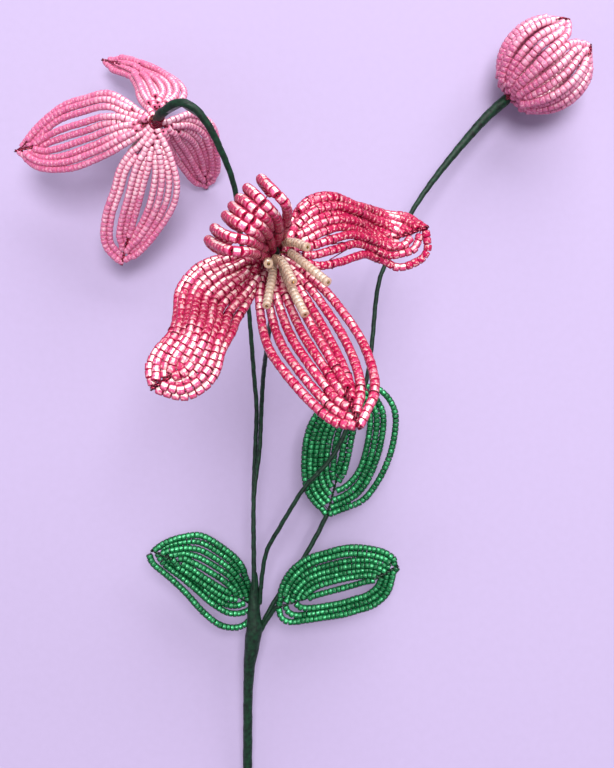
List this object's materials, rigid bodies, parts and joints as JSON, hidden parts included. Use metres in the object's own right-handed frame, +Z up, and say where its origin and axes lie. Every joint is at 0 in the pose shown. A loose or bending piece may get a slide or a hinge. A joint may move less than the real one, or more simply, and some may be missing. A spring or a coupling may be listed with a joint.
{
  "type": "beaded clematis spray",
  "caption": "Handmade glass-bead clematis spray laid flat: open flowers with cream stamens, a half-open bud and beaded leaves on taped wire stems.",
  "frame": {"origin": "bottom centre of the bounding box, on the surface the spray lies on", "axes": "+Y from the cut end of the stem towards the flowers, +X across the spray with the bud on its +X side, +Z up, the way the front flower faces"},
  "size_m": [0.1819, 0.2892, 0.1376],
  "materials": {
    "rose_glass_beads": "silver-lined transparent rose seed beads, glossy",
    "pink_glass_beads": "silver-lined transparent pink seed beads, glossy",
    "cream_glass_beads": "lined transparent cream seed beads, glossy",
    "green_glass_beads": "silver-lined dark green seed beads, glossy",
    "crimson_wire": "crimson-coated craft wire, satin",
    "stem_wire": "plain florist's wire",
    "floral_tape": "dark green waxed crepe floral tape, matt"
  },
  "bodies": {
    "root": {"front_petal_lower": "rose_glass_beads", "front_petal_left": "rose_glass_beads", "front_petal_right": "rose_glass_beads", "front_petal_curled": "rose_glass_beads", "back_petal_left": "pink_glass_beads", "back_petal_lower": "pink_glass_beads", "back_petal_right": "pink_glass_beads", "back_petal_upper": "pink_glass_beads", "bud_petal_1": "pink_glass_beads", "bud_petal_2": "pink_glass_beads", "bud_petal_3": "pink_glass_beads", "bud_petal_4": "pink_glass_beads", "left_leaf": "green_glass_beads", "right_leaf": "green_glass_beads", "middle_leaf": "green_glass_beads", "left_leaf_stalk": "floral_tape", "right_leaf_stalk": "floral_tape", "middle_leaf_stalk": "floral_tape", "front_stamen_1": "cream_glass_beads", "front_stamen_2": "cream_glass_beads", "front_stamen_3": "cream_glass_beads", "front_stamen_4": "cream_glass_beads", "front_stamen_5": "cream_glass_beads", "front_stamen_6": "cream_glass_beads", "back_stamen_1": "cream_glass_beads", "back_stamen_2": "cream_glass_beads", "back_stamen_3": "cream_glass_beads", "back_stamen_4": "cream_glass_beads", "back_stamen_5": "cream_glass_beads", "back_stamen_6": "cream_glass_beads", "front_binding": "crimson_wire", "front_stem_wire": "stem_wire", "front_stem_tape": "floral_tape", "back_binding": "crimson_wire", "back_stem_wire": "stem_wire", "back_stem_tape": "floral_tape", "bud_binding": "crimson_wire", "bud_stem_wire": "stem_wire", "bud_stem_tape": "floral_tape", "main_stem_tape": "floral_tape"}
  },
  "joints": []
}
